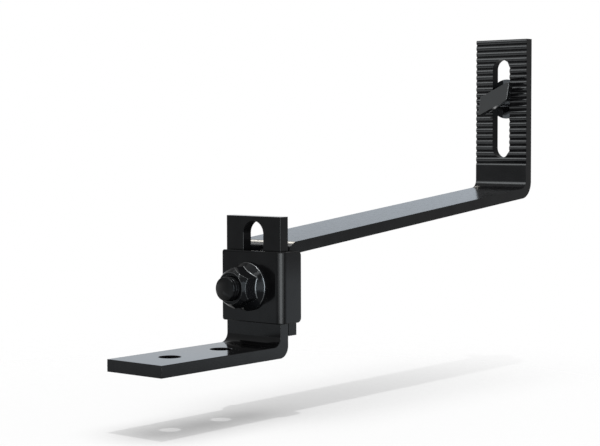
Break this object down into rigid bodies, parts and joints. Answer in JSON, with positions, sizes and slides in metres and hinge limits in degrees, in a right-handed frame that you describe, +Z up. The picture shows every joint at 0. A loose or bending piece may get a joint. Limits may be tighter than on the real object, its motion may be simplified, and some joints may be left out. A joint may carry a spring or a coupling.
{
  "type": "slate roof hook for solar rails",
  "caption": "Adjustable roof hook: a screwed foot plate, a long arm clamped behind the foot's slotted leg, and a ridged upright whose slot holds a hammer-head bolt for a rail.",
  "frame": {"origin": "midway between the two screw holes, on the foot plate's underside", "axes": "+X across the bars, to the right as seen from the foot's front end; +Y from the foot's front end towards the upright; +Z up, away from the roof"},
  "size_m": [0.0332, 0.2791, 0.141],
  "materials": {
    "coated_bar": "smooth black coating, satin gloss",
    "coated_sheet": "smooth black coating, glossy",
    "coated_fastener": "black coated fastener, glossy"
  },
  "bodies": {
    "base": {"base_bracket": "coated_bar"},
    "arm": {"hook_arm": "coated_bar", "clamp_saddle": "coated_sheet", "clamp_bolt": "coated_fastener", "clamp_nut": "coated_fastener"},
    "rail_nut": {"rail_nut": "coated_fastener"},
    "rail_bolt": {"rail_t_bolt": "coated_fastener"}
  },
  "joints": [
    {"name": "height_slide", "type": "slide", "parent": "base", "child": "arm", "axis": [0, 0, 1], "range_m": [-0.005, 0.022]},
    {"name": "rail_bolt_slide", "type": "slide", "parent": "arm", "child": "rail_nut", "axis": [0, 0, 1], "range_m": [-0.0255, 0.0155]},
    {"name": "rail_bolt_turn", "type": "hinge", "parent": "rail_nut", "child": "rail_bolt", "pos_m": [0, 0.2325, 0.111], "axis": [0, 1, 0], "range_deg": [-65, 25]}
  ]
}
